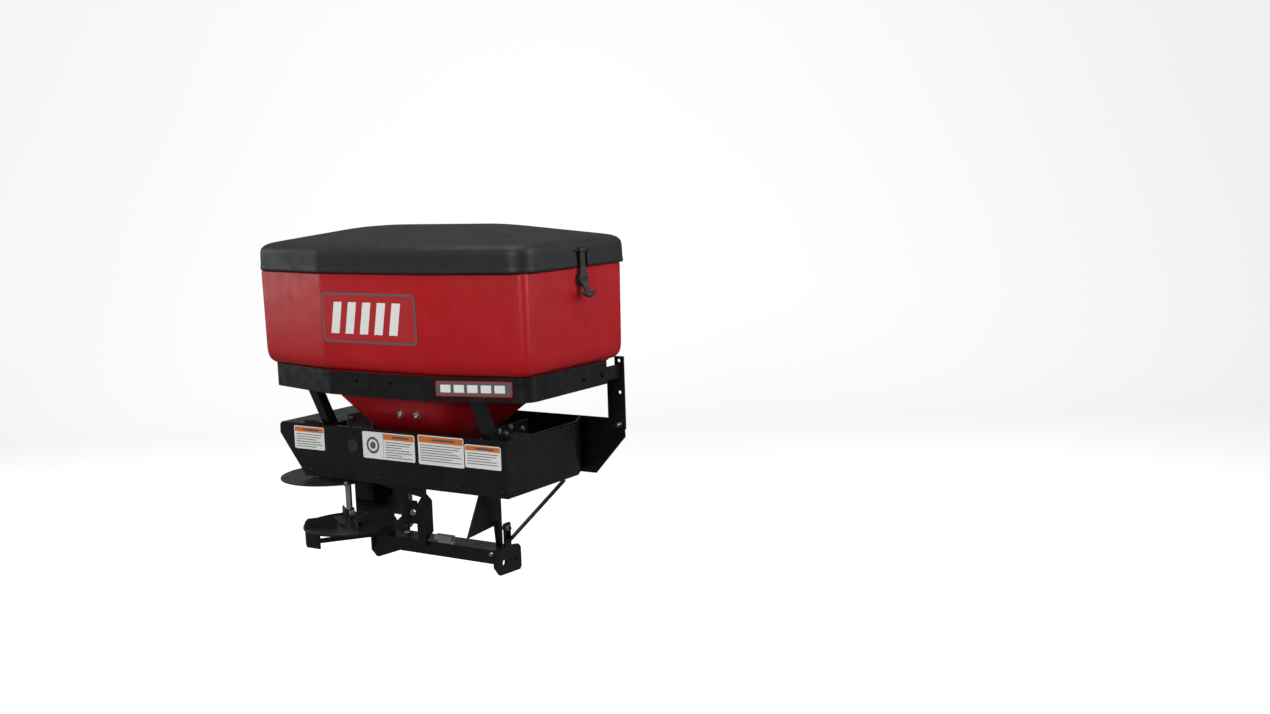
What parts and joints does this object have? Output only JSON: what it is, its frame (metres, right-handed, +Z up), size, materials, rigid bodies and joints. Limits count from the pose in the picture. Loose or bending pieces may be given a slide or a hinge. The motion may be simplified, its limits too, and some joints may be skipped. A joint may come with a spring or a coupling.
{
  "type": "tailgate salt spreader",
  "caption": "Vehicle-mounted salt spreader with a moulded hopper and lift-off lid, strap latches, a feed auger, a spinner disc, a deflector flap and a pinned hitch frame.",
  "frame": {"origin": "midway between the two end plates, on the axis of the hitch pin", "axes": "+X to the right seen from behind the vehicle, along the hitch pin; +Y forwards, towards the vehicle; +Z up"},
  "size_m": [0.8908, 0.481, 0.864],
  "materials": {
    "hopper_plastic": "moulded red polyethylene, satin gloss",
    "lid_plastic": "moulded charcoal polyethylene, satin",
    "black_paint": "black powder coat, semi-gloss",
    "black_plastic": "black moulded plastic",
    "rubber": "black rubber",
    "zinc": "bright zinc plating",
    "bare_steel": "plain stainless sheet",
    "cast_alloy": "cast, matte",
    "motor_paint": "black enamel, satin"
  },
  "bodies": {
    "frame": {"hopper": "hopper_plastic", "latch_keepers": "black_plastic", "keeper_screws": "zinc", "inverted_v": "bare_steel", "baffle_bolts": "zinc", "frame_band": "black_paint", "band_bolts": "black_paint", "rear_leg_left": "black_paint", "rear_leg_right": "black_paint", "front_post_left": "black_paint", "front_post_right": "black_paint", "rear_panel": "black_paint", "front_panel": "black_paint", "side_panel": "black_paint", "left_cover": "black_paint", "floor_pan": "black_paint", "hole_plug": "rubber", "panel_bolts": "black_paint", "auger_trough": "bare_steel", "discharge_chute": "black_paint", "left_bearing": "zinc", "right_bearing": "zinc", "gearbox_housing": "cast_alloy", "gearbox_cover": "cast_alloy", "auger_motor": "motor_paint", "spinner_motor": "motor_paint", "top_shield": "black_paint", "shield_bolts": "zinc", "spinner_shroud": "black_paint", "flap_pin": "zinc", "skirt_plate": "black_paint", "flap_stop": "zinc", "lower_guard": "black_paint", "hitch_channel": "black_paint", "end_plate_left": "black_paint", "end_plate_right": "black_paint", "hanger_plate": "black_paint", "brace_left": "black_paint", "brace_right": "black_paint", "hitch_bolts": "zinc", "cable_gland": "rubber", "post_bolts": "zinc", "deck_lip": "black_paint", "shield_stud": "zinc", "drive_bracket": "black_paint", "drive_bolts": "zinc"},
    "lid": {"lid": "lid_plastic", "latch_pins": "black_paint"},
    "latch_right": {"latch_right": "rubber"},
    "latch_left": {"latch_left": "rubber"},
    "auger": {"auger_shaft": "bare_steel", "auger_flighting": "bare_steel", "gear_wheel": "bare_steel"},
    "pinion": {"drive_pinion": "bare_steel"},
    "spinner": {"spinner_shaft": "zinc", "spinner_hub": "black_plastic", "spinner_disc": "black_plastic", "hub_pin": "zinc"},
    "flap": {"deflector_flap": "black_paint", "flap_bolt": "zinc"}
  },
  "joints": [
    {"name": "lid_lift", "type": "slide", "parent": "frame", "child": "lid", "axis": [0, 0, 1], "range_m": [0, 0.35]},
    {"name": "latch_right_swing", "type": "hinge", "parent": "lid", "child": "latch_right", "pos_m": [0.424, 0.062, 0.767], "axis": [0, -1, 0], "range_deg": [0, 100]},
    {"name": "latch_left_swing", "type": "hinge", "parent": "lid", "child": "latch_left", "pos_m": [-0.424, 0.062, 0.767], "axis": [0, 1, 0], "range_deg": [0, 100]},
    {"name": "auger_spin", "type": "hinge", "parent": "frame", "child": "auger", "pos_m": [0, 0, 0.262], "axis": [1, 0, 0], "continuous": true},
    {"name": "pinion_spin", "type": "hinge", "parent": "frame", "child": "pinion", "pos_m": [0, 0, 0.2995], "axis": [1, 0, 0], "continuous": true},
    {"name": "spinner_spin", "type": "hinge", "parent": "frame", "child": "spinner", "pos_m": [-0.23, -0.08, 0.066], "axis": [0, 0, 1], "continuous": true},
    {"name": "flap_swing", "type": "hinge", "parent": "frame", "child": "flap", "pos_m": [-0.07, -0.044, 0.1], "axis": [0, 0, -1], "range_deg": [0, 60]}
  ],
  "couplings": [
    {"joint": "pinion_spin", "follows": "auger_spin", "ratio": -4}
  ]
}
